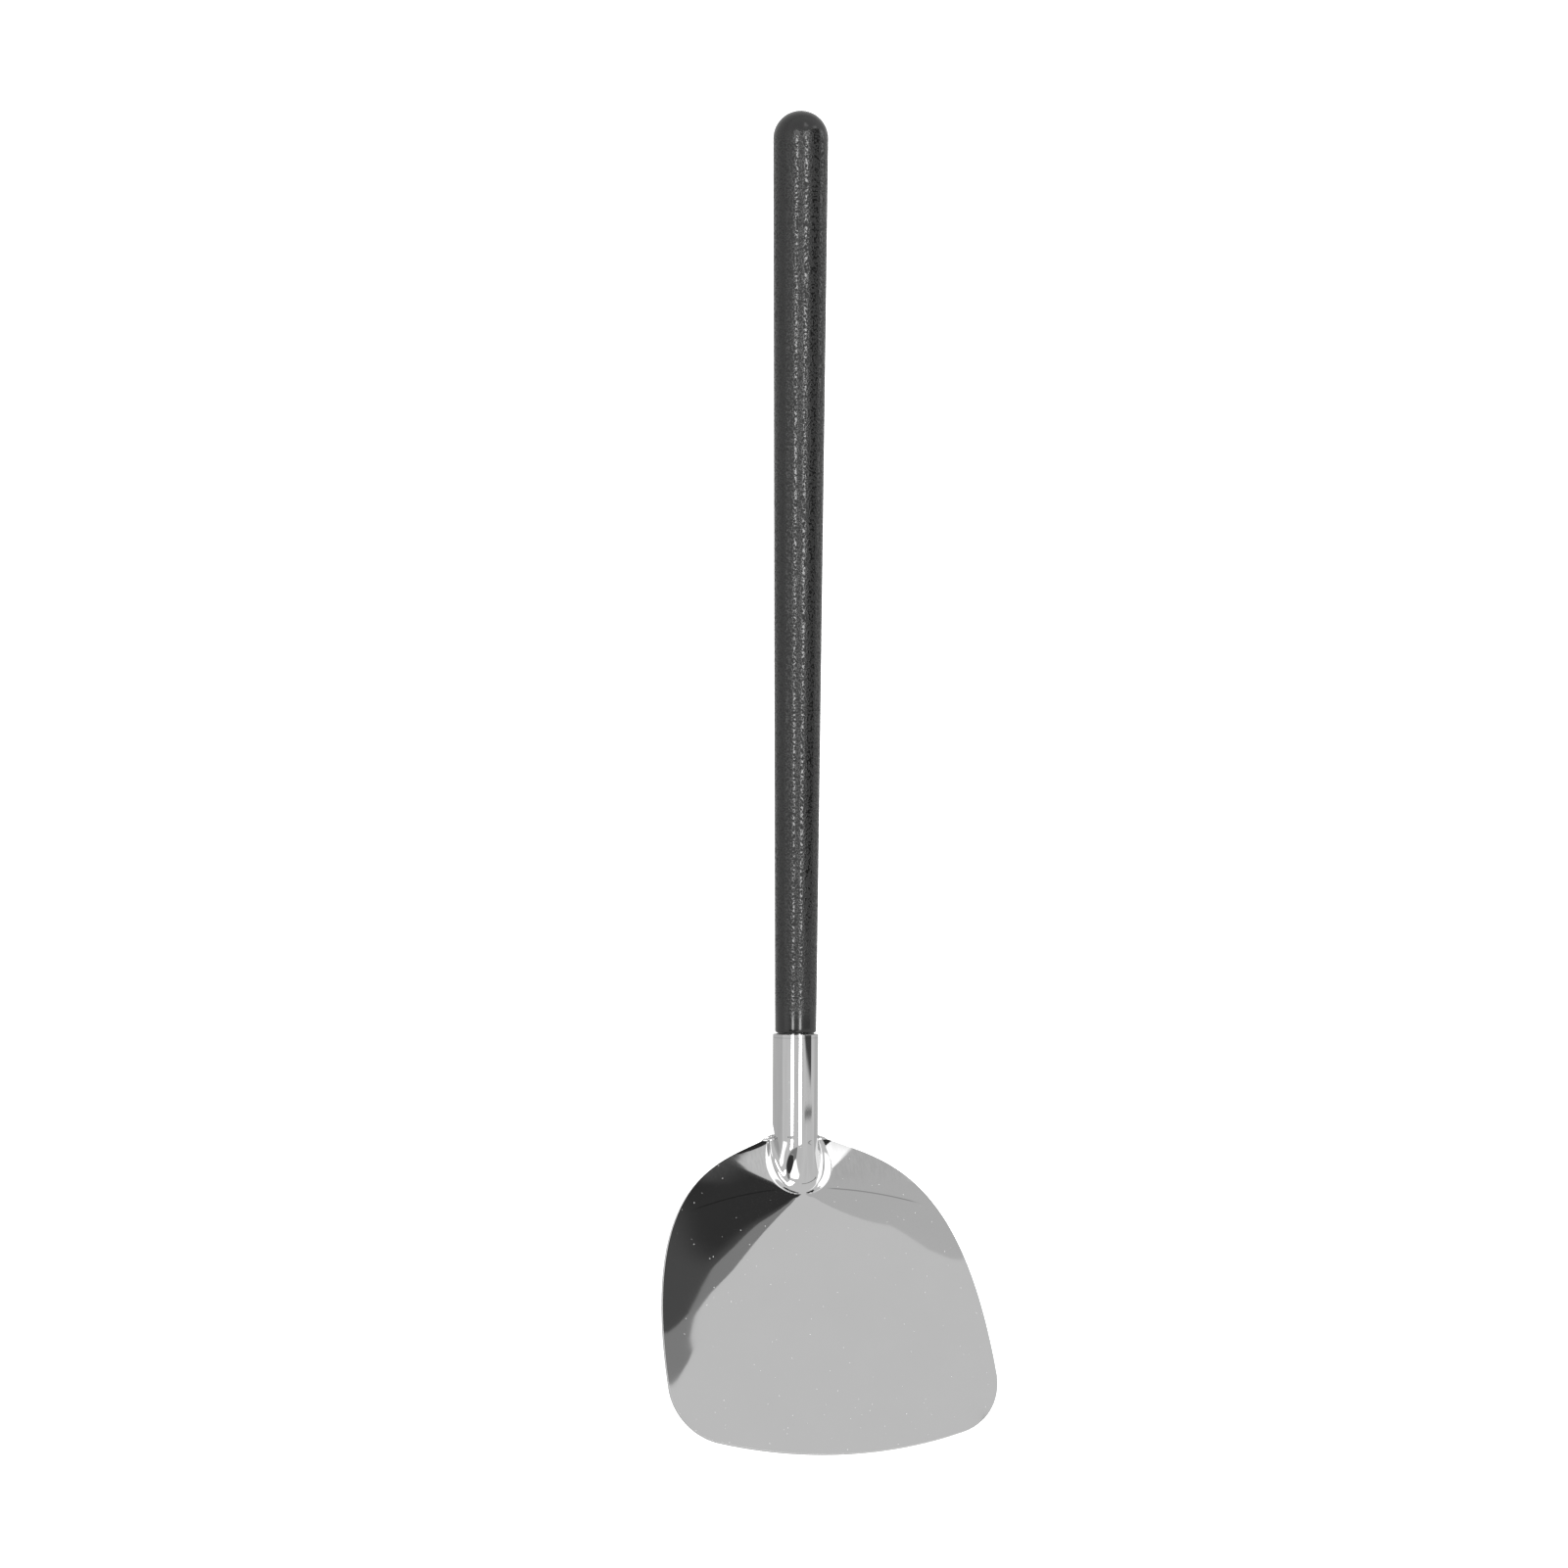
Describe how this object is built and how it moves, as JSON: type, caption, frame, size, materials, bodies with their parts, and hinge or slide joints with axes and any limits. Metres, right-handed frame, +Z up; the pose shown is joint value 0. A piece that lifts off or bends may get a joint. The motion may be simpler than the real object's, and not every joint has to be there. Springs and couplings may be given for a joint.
{
  "type": "hot pot ladle",
  "caption": "Long-handled flat ladle turner: one stamped steel sheet makes the broad blade, raised shoulders and rolled socket, on a tapered black handle with a round end.",
  "frame": {"origin": "middle of the footprint, on the worktop that the tool lies on with its food side up", "axes": "+Y along the handle toward its round end, +X across the blade, +Z up, out of the food side; x = 0 is the mirror plane"},
  "size_m": [0.1164, 0.4444, 0.0562],
  "materials": {
    "polished_steel": "mirror polished, with faint die lines near the neck",
    "black_plastic": "fine spark-eroded grain with a soft sheen",
    "pin_steel": "bright"
  },
  "bodies": {
    "root": {"head": "polished_steel", "handle": "black_plastic", "retaining_pin": "pin_steel"}
  },
  "joints": []
}
